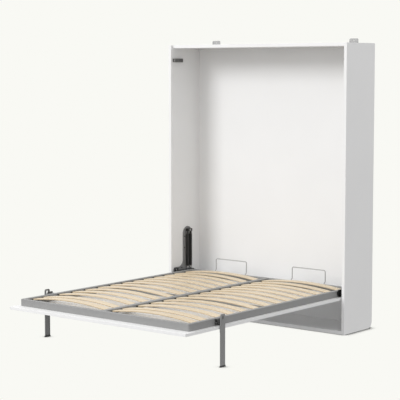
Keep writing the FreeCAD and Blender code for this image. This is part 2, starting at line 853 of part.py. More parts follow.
def make_leg_bracket():
    """A folded bracket that carries the leg's pivot clear of the rail."""
    low_y, high_y = leg_y - leg_bracket_front, leg_y + leg_bracket_back
    sheet = leg_bracket_sheet
    base = block(frame_x, frame_x + sheet, low_y, high_y, frame_top - ear_height, frame_top)
    roof = block(frame_x, ear_x, low_y, high_y, frame_top - sheet, frame_top)
    hump_top = frame_top + ear_hump_rise
    ear = side_plate([
        (low_y, frame_top, 0),
        (low_y, frame_top - ear_lip, 0),
        (leg_y - ear_foot_front, frame_top - ear_height, 0),
        (high_y, frame_top - ear_height, ear_back_corner),
        (high_y, hump_top, ear_hump_corner),
        (leg_y - ear_hump_front + ear_hump_slope, hump_top, ear_hump_corner),
        (leg_y - ear_hump_front, frame_top, 0),
    ], ear_x - sheet, ear_x)
    hole = rod_between((ear_x - sheet - cut_margin, leg_y, leg_pivot_z),
                       (ear_x + cut_margin, leg_y, leg_pivot_z),
                       leg_pin_radius + running_clearance)
    holes = [hole]
    holes += [screw_hole(seat, (-1, 0, 0), bolt_radius, sheet) for seat in leg_bracket_bolt_seats()]
    return base.fuse([roof, ear]).removeSplitter().cut(holes)


def make_leg_pin():
    """The flat-headed pin that the leg turns on, with a spacing collar between the leg and its bracket."""
    low_x = ear_x - leg_bracket_sheet - leg_pin_tail
    clip_x = ear_x - leg_bracket_sheet - pin_gap
    pin = rod_between((low_x, leg_y, leg_pivot_z), (leg_x, leg_y, leg_pivot_z), leg_pin_radius)
    head = rod_between((leg_x, leg_y, leg_pivot_z), (leg_x + leg_pin_head, leg_y, leg_pivot_z),
                       leg_pin_head_radius)
    collar = rod_between((ear_x, leg_y, leg_pivot_z),
                         (leg_x - leg_sheet - leg_pin_collar_gap, leg_y, leg_pivot_z),
                         leg_pin_collar_radius)
    clip = rod_between((clip_x - clip_thickness, leg_y, leg_pivot_z), (clip_x, leg_y, leg_pivot_z),
                       leg_pin_radius + clip_rim)
    return pin.fuse([head, collar, clip]).removeSplitter()


def leg_slot(top):
    """The rounded slot near the top of the leg."""
    half_width = leg_slot_width / 2
    end_radius = half_width - round_end_relief / 2
    slot_y, slot_top = leg_y + leg_slot_shift, top - leg_slot_below_top
    low_y, high_y, low_z = slot_y - half_width, slot_y + half_width, slot_top - leg_slot_length
    return side_plate([(low_y, low_z, end_radius), (high_y, low_z, end_radius),
                       (high_y, slot_top, end_radius), (low_y, slot_top, end_radius)],
                      leg_inner_x, leg_x + cut_margin)


def make_leg():
    """A shallow steel channel, open towards the bed, with a slot at its top and a small lug on its front."""
    low_y, high_y = leg_y - leg_width / 2, leg_y + leg_width / 2
    top = leg_pivot_z + leg_above_pivot
    outline = [(low_y, leg_foot_height, 0), (high_y, leg_foot_height, 0),
               (high_y, top, leg_top_corner), (low_y, top, leg_top_corner)]
    shape = side_plate(outline, leg_inner_x, leg_x)
    outer = [edge for edge in shape.Edges
             if edge.BoundBox.XMin > leg_x - hole_clearance and edge.BoundBox.ZMax > leg_foot_height + 1]
    shape = shape.makeFillet(leg_edge, outer)
    low_web, high_web = low_y + leg_sheet, high_y - leg_sheet
    trough_corner = leg_top_corner - leg_sheet
    trough = side_plate([(low_web, 0, 0), (high_web, 0, 0),
                         (high_web, top - leg_sheet, trough_corner),
                         (low_web, top - leg_sheet, trough_corner)],
                        leg_inner_x - cut_margin, leg_x - leg_sheet)
    shape = shape.cut(trough)
    lug_low = leg_pivot_z - leg_lug_drop
    lug_high = lug_low + leg_lug_height
    lug_y, lug_root = low_y - leg_lug_width, low_y + leg_sheet / 2
    lug = side_plate([(lug_y, lug_low, leg_lug_corner), (lug_root, lug_low, 0),
                      (lug_root, lug_high, 0), (lug_y, lug_high, leg_lug_corner)], leg_x - leg_sheet, leg_x)
    hole = rod_between((leg_inner_x - cut_margin, leg_y, leg_pivot_z),
                       (leg_x + cut_margin, leg_y, leg_pivot_z),
                       leg_pin_radius + running_clearance)
    return shape.fuse(lug).removeSplitter().cut([leg_slot(top), hole])


def make_leg_foot():
    half = leg_foot_width / 2
    top_half = half - leg_foot_taper
    return side_plate([(leg_y - half, 0, board_edge), (leg_y + half, 0, board_edge),
                       (leg_y + top_half, leg_foot_height, board_edge),
                       (leg_y - top_half, leg_foot_height, board_edge)],
                      leg_inner_x - leg_foot_overlap, leg_x + leg_foot_overlap)


def spring_lines():
    """The centre lines of the two springs on the right side."""
    return [spring_y - spring_spread / 2, spring_y + spring_spread / 2]


def make_gas_cylinder(y):
    outer = rod_between((spring_x, y, cylinder_bottom), (spring_x, y, cylinder_top), cylinder_radius)
    rims = [edge for edge in outer.Edges if edge.Closed]
    outer = outer.makeFillet(cylinder_edge, rims)
    inside = rod_between((spring_x, y, cylinder_bottom + gland_length),
                         (spring_x, y, cylinder_top - cylinder_cap),
                         cylinder_radius - cylinder_wall)
    gland = rod_between((spring_x, y, cylinder_bottom - cut_margin),
                        (spring_x, y, cylinder_bottom + gland_length + cut_margin),
                        rod_radius + running_clearance)
    return outer.cut([inside, gland])


def make_gas_rod(y):
    low_z = foot_yoke_z + foot_yoke_plate
    rod = rod_between((spring_x, y, low_z), (spring_x, y, low_z + rod_length), rod_radius)
    piston = rod_between((spring_x, y, low_z + rod_length - piston_length), (spring_x, y, low_z + rod_length),
                         piston_radius)
    return rod.fuse(piston).removeSplitter()


def make_spring_head():
    """The cross bar that hangs both cylinders from their shared pin, each on a short neck."""
    half_width, half_height = head_yoke_width / 2, head_yoke_height / 2
    low_y, high_y = spring_y - half_width, spring_y + half_width
    low_z, high_z = spring_top_z - half_height, spring_top_z + half_height
    bar = side_plate([(low_y, low_z, head_yoke_corner), (high_y, low_z, head_yoke_corner),
                      (high_y, high_z, head_yoke_corner), (low_y, high_z, head_yoke_corner)],
                     yoke_low_x, yoke_high_x)
    necks = [rod_between((spring_x, y, cylinder_top), (spring_x, y, spring_top_z), head_neck_radius)
             for y in spring_lines()]
    bore = rod_between((yoke_low_x - cut_margin, spring_y, spring_top_z),
                       (yoke_high_x + cut_margin, spring_y, spring_top_z),
                       spring_pin_radius + running_clearance)
    return bar.fuse(necks).removeSplitter().cut(bore)


def make_spring_foot():
    """The fork that joins both rods to the pin in the bed arm."""
    half = foot_yoke_width / 2
    low_y, high_y, high_z = spring_y - half, spring_y + half, foot_yoke_z + foot_yoke_plate
    bridge = side_plate([(low_y, foot_yoke_z, foot_yoke_corner), (high_y, foot_yoke_z, foot_yoke_corner),
                         (high_y, high_z, foot_yoke_corner), (low_y, high_z, foot_yoke_corner)],
                        yoke_low_x, yoke_high_x)
    boss = rod_between((yoke_low_x, spring_y, spring_foot_z), (yoke_high_x, spring_y, spring_foot_z),
                       foot_boss_radius)
    neck = block(yoke_low_x, yoke_high_x, spring_y - foot_boss_radius, spring_y + foot_boss_radius,
                 spring_foot_z, foot_yoke_z + foot_yoke_plate / 2)
    bore = rod_between((yoke_low_x - cut_margin, spring_y, spring_foot_z),
                       (yoke_high_x + cut_margin, spring_y, spring_foot_z), foot_pin_radius + hole_clearance)
    return bridge.fuse([boss, neck]).removeSplitter().cut(bore)


def make_spring_foot_pin():
    return rod_between((arm_x - pin_bite, spring_y, spring_foot_z), (yoke_high_x, spring_y, spring_foot_z),
                       foot_pin_radius)


def save_cabinet():
    save_pair("side_panel", make_side_panel())
    save("top_panel", make_top_panel())
    save("bottom_panel", make_bottom_panel())
    save("back_panel", make_back_panel())
    dowels = []
    for y, z in dowel_places():
        dowels += both(dowel(y, z, 0))
    save("panel_dowels", dowels)
    save_pair("wall_bracket", make_wall_bracket())
    save_pair("hinge_plate", make_hinge_plate())
    save("pivot_pins", both(make_pivot_pin()))
    save("pivot_covers", both(make_pivot_cover()))
    save("spring_top_pins", both(make_spring_top_pin()))
    save_pair("latch_body", make_latch_body())
    save("latch_plates", both(make_latch_plate()))
    save_pair("latch_plunger", make_latch_plunger())


def save_bed():
    ring = make_frame_ring()
    save_pair("side_rail", make_side_rail(ring))
    save("foot_rail", make_end_rail(ring, frame_foot_y, inner_foot_y))
    save("head_rail", make_head_rail(ring))
    save("centre_beam", make_centre_beam())
    save("cross_bar", make_cross_bar())
    save_pair("slats", Part.makeCompound([make_slat(y) for y in slat_places()]))
    save_pair("rail_slat_holders", Part.makeCompound(
        [make_slat_holder(y, rail_inner_x, -1) for y in slat_places()]))
    save_pair("beam_slat_holders", Part.makeCompound([make_slat_holder(y, beam_x, 1) for y in slat_places()]))
    save("front_panel", make_front_panel())
    save("panel_angles", make_angles())
    save_pair("bed_arm", make_bed_arm())
    save("pivot_bushes", both(make_pivot_bush()))
    save_pair("mattress_stop", make_mattress_stop())
    save_pair("leg_bracket", make_leg_bracket())
    save("leg_pins", both(make_leg_pin()))
    save_pair("leg", make_leg())
    save_pair("leg_foot", make_leg_foot())


def save_springs():
    save_pair("gas_cylinders", Part.makeCompound([make_gas_cylinder(y) for y in spring_lines()]))
    save_pair("gas_rods", Part.makeCompound([make_gas_rod(y) for y in spring_lines()]))
    save_pair("spring_head", make_spring_head())
    save_pair("spring_foot", make_spring_foot())
    save_pair("spring_foot_pin", make_spring_foot_pin())


def screws(seats, direction, radius, length, head_radius, head):
    """The same screw at each seat, on both sides of the bed."""
    group = []
    for seat in seats:
        group += both(screw(seat, direction, radius, length, head_radius, head))
    return group


def save_fasteners():
    save("hinge_plate_screws",
         screws(plate_screw_seats() + [cover_screw_seat()], (1, 0, 0), screw_radius, screw_length,
                screw_head_radius, screw_head))
    save("wall_bracket_screws",
         screws(bracket_screw_seats(), (0, 0, -1), screw_radius, screw_length, screw_head_radius, screw_head))
    save("latch_screws",
         screws(latch_screw_seats(), (1, 0, 0), small_screw_radius, latch_width + latch_screw_bite,
                small_head_radius, small_head))
    down = screws(angle_panel_seats(), (0, 0, -1), small_screw_radius, small_screw_length,
                  small_head_radius, small_head)
    across = screws(angle_rail_seats(), (1, 0, 0), small_screw_radius, angle_screw_length,
                    small_head_radius, small_head)
    save("panel_angle_screws", down + across)
    save("arm_bolts",
         screws(arm_bolt_seats(), (-1, 0, 0), bolt_radius, bolt_length, bolt_head_radius, bolt_head))
    save("leg_bracket_bolts",
         screws(leg_bracket_bolt_seats(), (-1, 0, 0), bolt_radius, bolt_length, bolt_head_radius, bolt_head))


save_cabinet()
save_bed()
save_springs()
save_fasteners()
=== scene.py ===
import json
import math

import bmesh
import bpy
from mathutils import Matrix, Vector


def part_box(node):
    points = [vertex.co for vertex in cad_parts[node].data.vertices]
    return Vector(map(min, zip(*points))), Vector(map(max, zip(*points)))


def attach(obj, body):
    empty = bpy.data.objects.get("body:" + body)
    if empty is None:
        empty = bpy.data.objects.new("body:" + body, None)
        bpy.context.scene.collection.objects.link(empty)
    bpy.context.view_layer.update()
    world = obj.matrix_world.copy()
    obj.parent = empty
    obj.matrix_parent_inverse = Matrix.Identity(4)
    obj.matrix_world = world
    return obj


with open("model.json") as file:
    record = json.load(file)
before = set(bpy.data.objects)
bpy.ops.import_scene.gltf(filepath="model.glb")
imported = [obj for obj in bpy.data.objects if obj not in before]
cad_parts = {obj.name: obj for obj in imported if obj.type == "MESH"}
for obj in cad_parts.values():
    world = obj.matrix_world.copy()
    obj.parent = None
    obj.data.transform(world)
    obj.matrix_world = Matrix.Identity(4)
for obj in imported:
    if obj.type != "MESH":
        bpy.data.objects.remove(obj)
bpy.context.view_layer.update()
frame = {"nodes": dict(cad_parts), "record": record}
nodes = frame["nodes"]
sides = ("left", "right")


view = {
    "place": (6.3031, -8.6247, 1.9531),
    "tilt": 84.616,
    "turn": 39.015,
    "lens": 122.1,
    "farthest": 100,
}


def meshObject(name, shape):
    mesh = bpy.data.meshes.new(name)
    shape.to_mesh(mesh)
    shape.free()
    piece = bpy.data.objects.new(name, mesh)
    bpy.context.scene.collection.objects.link(piece)
    return piece


def makeCamera():
    data = bpy.data.cameras.new("camera")
    data.lens = view["lens"]
    data.clip_end = view["farthest"]
    camera = bpy.data.objects.new("camera", data)
    camera.location = view["place"]
    camera.rotation_euler = (math.radians(view["tilt"]), 0, math.radians(view["turn"]))
    bpy.context.scene.collection.objects.link(camera)
    bpy.context.scene.camera = camera


studio = {
    "backdrop": (0.947, 0.947, 0.905),
    "sky": (0.92, 0.92, 0.92),
    "ground": (0.42, 0.42, 0.42),
    "keyPlace": (-6.0, -12.0, 8.8),
    "keyAim": (0.0, -0.5, 1.0),
    "keySize": 5.4,
    "keyPower": 1120,
    "floorSize": 60,
    "contactReach": 0.07,
    "contactShade": (0.05, 0.05, 0.049),
    "contactOpen": (0.5, 0.9),
    "contactSamples": 8,
    "floorDrop": 0.0005,
}


def paleLight(tree, plainShader, castColour):
    # a pale surround that shows brighter than it lights
    path = tree.nodes.new("ShaderNodeLightPath")
    mix = tree.nodes.new("ShaderNodeMixShader")
    shown, cast = tree.nodes.new(plainShader), tree.nodes.new(plainShader)
    shown.inputs["Color"].default_value = (*studio["backdrop"], 1)
    cast.inputs["Color"].default_value = (*castColour, 1)
    tree.links.new(path.outputs["Is Camera Ray"], mix.inputs[0])
    tree.links.new(cast.outputs[0], mix.inputs[1])
    tree.links.new(shown.outputs[0], mix.inputs[2])
    return mix.outputs[0], shown


def makeFloor():
    material = bpy.data.materials.new("paleFloor")
    material.use_nodes = True
    tree = material.node_tree
    tree.nodes.clear()
    output = tree.nodes.new("ShaderNodeOutputMaterial")
    light, shown = paleLight(tree, "ShaderNodeEmission", studio["ground"])
    tree.links.new(light, output.inputs["Surface"])
    # painted contact shadow: a thin dark line where something stands right on the floor
    near = addNode(tree, "ShaderNodeAmbientOcclusion", {"samples": studio["contactSamples"]},
                   {"Distance": studio["contactReach"]})
    openness = remap(tree, near.outputs["AO"], *studio["contactOpen"], 0, 1)
    shade = mixColours(tree, openness, studio["contactShade"], studio["backdrop"])
    tree.links.new(shade, shown.inputs["Color"])
    shape = bmesh.new()
    bmesh.ops.create_grid(shape, x_segments=1, y_segments=1, size=studio["floorSize"] / 2)
    bmesh.ops.translate(shape, verts=shape.verts, vec=(0, 0, -studio["floorDrop"]))
    floor = meshObject("floor", shape)
    floor.data.materials.append(material)


def makeStudio():
    world = bpy.data.worlds.new("studio")
    bpy.context.scene.world = world
    world.use_nodes = True
    world.node_tree.nodes.clear()
    output = world.node_tree.nodes.new("ShaderNodeOutputWorld")
    light, _ = paleLight(world.node_tree, "ShaderNodeBackground", studio["sky"])
    world.node_tree.links.new(light, output.inputs["Surface"])

    lamp = bpy.data.lights.new("key", "AREA")
    lamp.size = studio["keySize"]
    lamp.energy = studio["keyPower"]
    key = bpy.data.objects.new("key", lamp)
    key.location = studio["keyPlace"]
    aim = Vector(studio["keyAim"]) - key.location
    key.rotation_euler = aim.to_track_quat("-Z", "Y").to_euler()
    bpy.context.scene.collection.objects.link(key)

    makeFloor()
    bpy.context.scene.view_settings.view_transform = "Standard"


shading = {"bumpSamples": 4, "edgeSamples": 6, "sharpEdge": 0.72}


def newMaterial(name, colour, roughness, metallic=0.0):
    material = bpy.data.materials.new(name)
    material.use_nodes = True
    shader = material.node_tree.nodes["Principled BSDF"]
    shader.inputs["Base Color"].default_value = (*colour, 1)
    shader.inputs["Roughness"].default_value = roughness
    shader.inputs["Metallic"].default_value = metallic
    material.diffuse_color = (*colour, 1)
    return material, material.node_tree, shader


def addNode(tree, kind, settings=None, values=None):
    node = tree.nodes.new(kind)
    for key, value in (settings or {}).items():
        setattr(node, key, value)
    for key, value in (values or {}).items():
        node.inputs[key].default_value = value
    return node


def objectPlace(tree, stretch=(1, 1, 1)):
    place = addNode(tree, "ShaderNodeTexCoord")
    mapping = addNode(tree, "ShaderNodeMapping", values={"Scale": stretch})
    tree.links.new(place.outputs["Object"], mapping.inputs["Vector"])
    return mapping.outputs["Vector"]


def noiseField(tree, vector, scale, detail=3.0, roughness=0.5):
    noise = addNode(tree, "ShaderNodeTexNoise",
                    values={"Scale": scale, "Detail": detail, "Roughness": roughness})
    tree.links.new(vector, noise.inputs["Vector"])
    return noise.outputs["Fac"]


def remap(tree, value, low, high, toLow, toHigh):
    node = addNode(tree, "ShaderNodeMapRange",
                   values={"From Min": low, "From Max": high, "To Min": toLow, "To Max": toHigh})
    tree.links.new(value, node.inputs["Value"])
    return node.outputs["Result"]


def mixColours(tree, amount, first, second):
    node = addNode(tree, "ShaderNodeMix", {"data_type": "RGBA"})
    tree.links.new(amount, node.inputs["Factor"])
    for socket, colour in ((node.inputs[6], first), (node.inputs[7], second)):
        if isinstance(colour, tuple):
            socket.default_value = (*colour, 1)
        else:
            tree.links.new(colour, socket)
    return node.outputs[2]


def addBump(tree, shader, height, strength, distance, softEdge=0.0):
    bump = addNode(tree, "ShaderNodeBump", values={"Strength": strength, "Distance": distance})
    tree.links.new(height, bump.inputs["Height"])
    if softEdge > 0:
        rounded = addNode(tree, "ShaderNodeBevel", {"samples": shading["bumpSamples"]}, {"Radius": softEdge})
        tree.links.new(rounded.outputs["Normal"], bump.inputs["Normal"])
    tree.links.new(bump.outputs["Normal"], shader.inputs["Normal"])


def edgeMask(tree, width):
    # 1 along sharp edges, 0 on flat faces
    rounded = addNode(tree, "ShaderNodeBevel", {"samples": shading["edgeSamples"]}, {"Radius": width})
    plain = addNode(tree, "ShaderNodeNewGeometry")
    dot = addNode(tree, "ShaderNodeVectorMath", {"operation": "DOT_PRODUCT"})
    tree.links.new(rounded.outputs["Normal"], dot.inputs[0])
    tree.links.new(plain.outputs["Normal"], dot.inputs[1])
    return remap(tree, dot.outputs["Value"], 1.0, shading["sharpEdge"], 0.0, 1.0)


board = {
    "colour": (0.853, 0.852, 0.850),
    "shade": (0.841, 0.84, 0.838),
    "roughness": 0.42,
    "cloudScale": 2.2,
    "patchScale": 35,
    "gloss": (0.36, 0.48),
    "peel": 650,
    "peelStrength": 0.12,
    "peelDepth": 0.0002,
    "edge": 0.0008,
    "specular": 0.35,
}


def whiteBoard():
    material, tree, shader = newMaterial("whiteBoard", board["colour"], board["roughness"])
    place = objectPlace(tree)
    cloud = remap(tree, noiseField(tree, place, board["cloudScale"], 2.0), 0.35, 0.65, 0, 1)
    tree.links.new(mixColours(tree, cloud, board["colour"], board["shade"]), shader.inputs["Base Color"])
    patches = noiseField(tree, place, board["patchScale"], 3.0)
    tree.links.new(remap(tree, patches, 0.3, 0.7, *board["gloss"]), shader.inputs["Roughness"])
    peel = noiseField(tree, place, board["peel"], 2.0)
    addBump(tree, shader, peel, board["peelStrength"], board["peelDepth"], board["edge"])
    shader.inputs["Specular IOR Level"].default_value = board["specular"]
    return material


coat = {
    "cloudScale": 9,
    "cloudDepth": 0.35,
    "cloudShade": 0.86,
    "scuffScale": 160,
    "scuffRange": (0.42, 0.6),
    "wear": (0.1, 0.75),
    "wearAndHighlightWidth": 0.0015,
    "smoother": 0.06,
    "rougher": 0.08,
    "bumpStrength": 0.25,
    "bumpDepth": 0.00025,
    "edge": 0.0012,
}


def powderCoat(name, colour, wearAndHighlightColour, roughness=0.5, grain=1400):
    material, tree, shader = newMaterial(name, colour, roughness)
    place = objectPlace(tree)
    cloud = remap(tree, noiseField(tree, place, coat["cloudScale"], 3.0), 0.3, 0.7, 0, coat["cloudDepth"])
    base = mixColours(tree, cloud, colour, tuple(coat["cloudShade"] * part for part in colour))
    # the paint is rubbed a little along the edges, and the lighter edges are also a painted edge highlight
    scuffs = noiseField(tree, place, coat["scuffScale"], 4.0, 0.65)
    wearAndHighlight = addNode(tree, "ShaderNodeMath", {"operation": "MULTIPLY"})
    tree.links.new(edgeMask(tree, coat["wearAndHighlightWidth"]), wearAndHighlight.inputs[0])
    tree.links.new(remap(tree, scuffs, *coat["scuffRange"], *coat["wear"]), wearAndHighlight.inputs[1])
    tree.links.new(mixColours(tree, wearAndHighlight.outputs[0], base, wearAndHighlightColour), shader.inputs["Base Color"])
    fine = noiseField(tree, place, grain, 2.0)
    gloss = remap(tree, fine, 0.3, 0.7, roughness - coat["smoother"], roughness + coat["rougher"])
    tree.links.new(gloss, shader.inputs["Roughness"])
    addBump(tree, shader, fine, coat["bumpStrength"], coat["bumpDepth"], coat["edge"])
    return material


slatLook = {
    "pale": (0.77, 0.645, 0.46),
    "mid": (0.71, 0.585, 0.405),
    "dark": (0.50, 0.375, 0.235),
    "layers": 6,
    "thickness": 0.008,
    "shift": (9.0, 7.0, 5.0),
    "bandStretch": (1.1, 16.0, 16.0),
    "fibreStretch": (6.0, 260.0, 260.0),
    "fibreDepth": 0.45,
    "toneDepth": 0.12,
    "layerDepth": 0.75,
    "edgeFacing": (0.75, 0.95),
    "gloss": (0.36, 0.5),
    "bumpStrength": 0.2,
    "bumpDepth": 0.0002,
    "coat": 0.12,
    "coatRoughness": 0.3,
    "sameSlat": 0.02,
    "widestSlat": 0.06,
}


def slatMiddles():
    # the middle of each slat along the bed, from the foot, read from the slats' own corners
    rows = sorted({round(corner.co.y, 4) for corner in nodes["slats_right"].data.vertices})
    groups = [[rows[0]]]
    for row in rows[1:]:
        if row - groups[-1][-1] > slatLook["sameSlat"] and row - groups[-1][0] > slatLook["widestSlat"]:
            groups.append([])
        groups[-1].append(row)
    return [(group[0] + group[-1]) / 2 for group in groups]


def slatKey(tree, along):
    # a different colour for each slat, so that no two have the same grain
    low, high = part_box("slats_right")
    place = remap(tree, along, low.y, high.y, 0, 1)
    keyStep = 0.618   # steps of this size spread the keys evenly
    ramp = addNode(tree, "ShaderNodeValToRGB")
    ramp.color_ramp.interpolation = "CONSTANT"
    middles = slatMiddles()
    for index, middle in enumerate(middles):
        start = 0.0
        if index:
            start = ((middles[index - 1] + middle) / 2 - low.y) / (high.y - low.y)
        stop = ramp.color_ramp.elements[0] if index == 0 else ramp.color_ramp.elements.new(start)
        stop.position = start
        stop.color = [(keyStep * (index + 1) * (part + 1)) % 1 for part in range(3)] + [1]
    ramp.color_ramp.elements.remove(ramp.color_ramp.elements[-1])
    tree.links.new(place, ramp.inputs["Fac"])
    return ramp.outputs["Color"]


def slatGrain(tree, place, stretch, scale, detail):
    mapping = addNode(tree, "ShaderNodeMapping", values={"Scale": stretch})
    tree.links.new(place, mapping.inputs["Vector"])
    return noiseField(tree, mapping.outputs[0], scale, detail, 0.6)


def slatPlace(tree, raw, parts, key):
    # the place on the object, moved by another amount for each slat and each column
    side = addNode(tree, "ShaderNodeMath", {"operation": "SIGN"})
    tree.links.new(parts.outputs["X"], side.inputs[0])
    shifted = addNode(tree, "ShaderNodeVectorMath", {"operation": "MULTIPLY_ADD"}, {1: slatLook["shift"]})
    tree.links.new(key, shifted.inputs[0])
    tree.links.new(raw.outputs["Object"], shifted.inputs[2])
    sided = addNode(tree, "ShaderNodeCombineXYZ")
    tree.links.new(side.outputs[0], sided.inputs["Z"])
    moved = addNode(tree, "ShaderNodeVectorMath", {"operation": "ADD"})
    tree.links.new(shifted.outputs[0], moved.inputs[0])
    tree.links.new(sided.outputs[0], moved.inputs[1])
    return moved.outputs[0]


def slatLayers(tree, parts):
    # glued layers, which show on the long edges and follow the bow
    low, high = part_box("slats_right")
    thickness = slatLook["thickness"]
    halfSpan = (high.x - low.x) / 2
    crown = high.z - low.z - thickness
    bow = (halfSpan ** 2 + crown ** 2) / (2 * crown)
    across = addNode(tree, "ShaderNodeMath", {"operation": "ABSOLUTE"})
    tree.links.new(parts.outputs["X"], across.inputs[0])
    joined = addNode(tree, "ShaderNodeCombineXYZ")
    tree.links.new(across.outputs[0], joined.inputs["X"])
    tree.links.new(parts.outputs["Z"], joined.inputs["Z"])
    fromCentre = addNode(tree, "ShaderNodeVectorMath", {"operation": "DISTANCE"},
                         {1: ((low.x + high.x) / 2, 0, high.z - thickness - bow)})
    tree.links.new(joined.outputs[0], fromCentre.inputs[0])
    depth = remap(tree, fromCentre.outputs["Value"], bow, bow + thickness, 0, slatLook["layers"] * math.pi)
    wave = addNode(tree, "ShaderNodeMath", {"operation": "SINE"})
    tree.links.new(depth, wave.inputs[0])
    return remap(tree, wave.outputs[0], -1, 1, 0, 1)


def slatEdge(tree):
    # 1 on the long edges, 0 on the broad faces
    geometry = addNode(tree, "ShaderNodeNewGeometry")
    facing = addNode(tree, "ShaderNodeSeparateXYZ")
    tree.links.new(geometry.outputs["True Normal"], facing.inputs[0])
    sideways = addNode(tree, "ShaderNodeMath", {"operation": "ABSOLUTE"})
    tree.links.new(facing.outputs["Y"], sideways.inputs[0])
    return remap(tree, sideways.outputs[0], *slatLook["edgeFacing"], 0, slatLook["layerDepth"])


def slatWood():
    material, tree, shader = newMaterial("slatWood", slatLook["mid"], 0.42)
    raw = addNode(tree, "ShaderNodeTexCoord")
    parts = addNode(tree, "ShaderNodeSeparateXYZ")
    tree.links.new(raw.outputs["Object"], parts.inputs[0])
    key = slatKey(tree, parts.outputs["Y"])
    place = slatPlace(tree, raw, parts, key)
    bands = slatGrain(tree, place, slatLook["bandStretch"], 2.6, 5.0)
    fibre = slatGrain(tree, place, slatLook["fibreStretch"], 2.0, 4.0)
    base = mixColours(tree, remap(tree, bands, 0.32, 0.68, 0, 1), slatLook["pale"], slatLook["mid"])
    fibreShade = remap(tree, fibre, 0.45, 0.75, 0, slatLook["fibreDepth"])
    base = mixColours(tree, fibreShade, base, slatLook["dark"])
    keyParts = addNode(tree, "ShaderNodeSeparateColor")
    tree.links.new(key, keyParts.inputs[0])
    tone = remap(tree, keyParts.outputs[0], 0, 1, 0.0, slatLook["toneDepth"])
    base = mixColours(tree, tone, base, slatLook["dark"])
    onEdge = addNode(tree, "ShaderNodeMath", {"operation": "MULTIPLY"})
    tree.links.new(slatEdge(tree), onEdge.inputs[0])
    tree.links.new(slatLayers(tree, parts), onEdge.inputs[1])
    tree.links.new(mixColours(tree, onEdge.outputs[0], base, slatLook["dark"]), shader.inputs["Base Color"])
    tree.links.new(remap(tree, fibre, 0.3, 0.7, *slatLook["gloss"]), shader.inputs["Roughness"])
    addBump(tree, shader, fibre, slatLook["bumpStrength"], slatLook["bumpDepth"])
    shader.inputs["Coat Weight"].default_value = slatLook["coat"]
    shader.inputs["Coat Roughness"].default_value = slatLook["coatRoughness"]
    return material


dowel = {
    "colour": (0.62, 0.46, 0.28),
    "pale": (0.66, 0.50, 0.32),
    "dark": (0.54, 0.39, 0.23),
    "stretch": (12, 300, 300),
}
moulded = {"grain": 900, "cloudScale": 40, "lighter": 1.35, "lift": 0.01, "bumpDepth": 0.0003, "edge": 0.0006}
plated = {"duller": 0.72, "smoother": 0.08, "rougher": 0.12, "bumpDepth": 0.0001, "edge": 0.0008}


def dowelWood():
    material, tree, shader = newMaterial("dowelWood", dowel["colour"], 0.6)
    fibre = noiseField(tree, objectPlace(tree, dowel["stretch"]), 1.5, 4.0)
    base = mixColours(tree, remap(tree, fibre, 0.35, 0.7, 0, 1), dowel["pale"], dowel["dark"])
    tree.links.new(base, shader.inputs["Base Color"])
    addBump(tree, shader, fibre, 0.2, 0.0002)
    return material


def mouldedPlastic(name, colour, roughness=0.5):
    material, tree, shader = newMaterial(name, colour, roughness)
    place = objectPlace(tree)
    fine = noiseField(tree, place, moulded["grain"], 3.0)
    lighter = tuple(min(1.0, moulded["lighter"] * part + moulded["lift"]) for part in colour)
    cloud = remap(tree, noiseField(tree, place, moulded["cloudScale"], 3.0), 0.35, 0.7, 0, 0.5)
    tree.links.new(mixColours(tree, cloud, colour, lighter), shader.inputs["Base Color"])
    tree.links.new(remap(tree, fine, 0.3, 0.7, roughness - 0.08, roughness + 0.1), shader.inputs["Roughness"])
    addBump(tree, shader, fine, 0.3, moulded["bumpDepth"], moulded["edge"])
    return material


def platedSteel(name, colour, roughness=0.34, brush=(40, 400, 400), metallic=1.0):
    material, tree, shader = newMaterial(name, colour, roughness, metallic)
    streak = noiseField(tree, objectPlace(tree, brush), 1.0, 5.0, 0.6)
    duller = tuple(plated["duller"] * part for part in colour)
    base = mixColours(tree, remap(tree, streak, 0.3, 0.7, 0, 1), colour, duller)
    tree.links.new(base, shader.inputs["Base Color"])
    gloss = remap(tree, streak, 0.3, 0.7, roughness - plated["smoother"], roughness + plated["rougher"])
    tree.links.new(gloss, shader.inputs["Roughness"])
    addBump(tree, shader, streak, 0.15, plated["bumpDepth"], plated["edge"])
    return material


plunger = {
    "head": (0.10, 0.10, 0.098),
    "headWorn": (0.15, 0.15, 0.147),
    # the pale stem colour is a painted highlight
    "stem": (0.62, 0.62, 0.61),
    "stemWorn": (0.48, 0.48, 0.47),
    "headLength": 0.0045,
    "fade": 0.0002,
}
plateScrews = {
    "dark": (0.045, 0.045, 0.044),
    "darkWorn": (0.09, 0.09, 0.088),
    "bright": (0.80, 0.80, 0.80),
    "brightWorn": (0.60, 0.60, 0.60),
    "reach": 0.012,
    "fade": 0.0005,
    "headInset": 0.008,
    "headDrop": 0.0185,
}


def plateScrewSteel():
    # black screws in the hinge plates, and one bright screw in each pivot cover
    material, tree, shader = newMaterial("plateScrewSteel", plateScrews["dark"], 0.38, 0.6)
    low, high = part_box("pivot_covers")
    raw = addNode(tree, "ShaderNodeTexCoord")
    absolute = addNode(tree, "ShaderNodeVectorMath", {"operation": "ABSOLUTE"})
    tree.links.new(raw.outputs["Object"], absolute.inputs[0])
    boss = (high.x - plateScrews["headInset"], abs(low.y + high.y) / 2, high.z - plateScrews["headDrop"])
    near = addNode(tree, "ShaderNodeVectorMath", {"operation": "DISTANCE"}, {1: boss})
    tree.links.new(absolute.outputs[0], near.inputs[0])
    edge = plateScrews["reach"]
    amount = remap(tree, near.outputs["Value"], edge, edge + plateScrews["fade"], 1, 0)
    grain = noiseField(tree, objectPlace(tree), 700, 4.0)
    wear = remap(tree, grain, 0.4, 0.7, 0, 1)
    dark = mixColours(tree, wear, plateScrews["dark"], plateScrews["darkWorn"])
    bright = mixColours(tree, wear, plateScrews["bright"], plateScrews["brightWorn"])
    tree.links.new(mixColours(tree, amount, dark, bright), shader.inputs["Base Color"])
    tree.links.new(remap(tree, grain, 0.3, 0.7, 0.28, 0.46), shader.inputs["Roughness"])
    addBump(tree, shader, grain, 0.15, 0.0001, 0.0005)
    return material


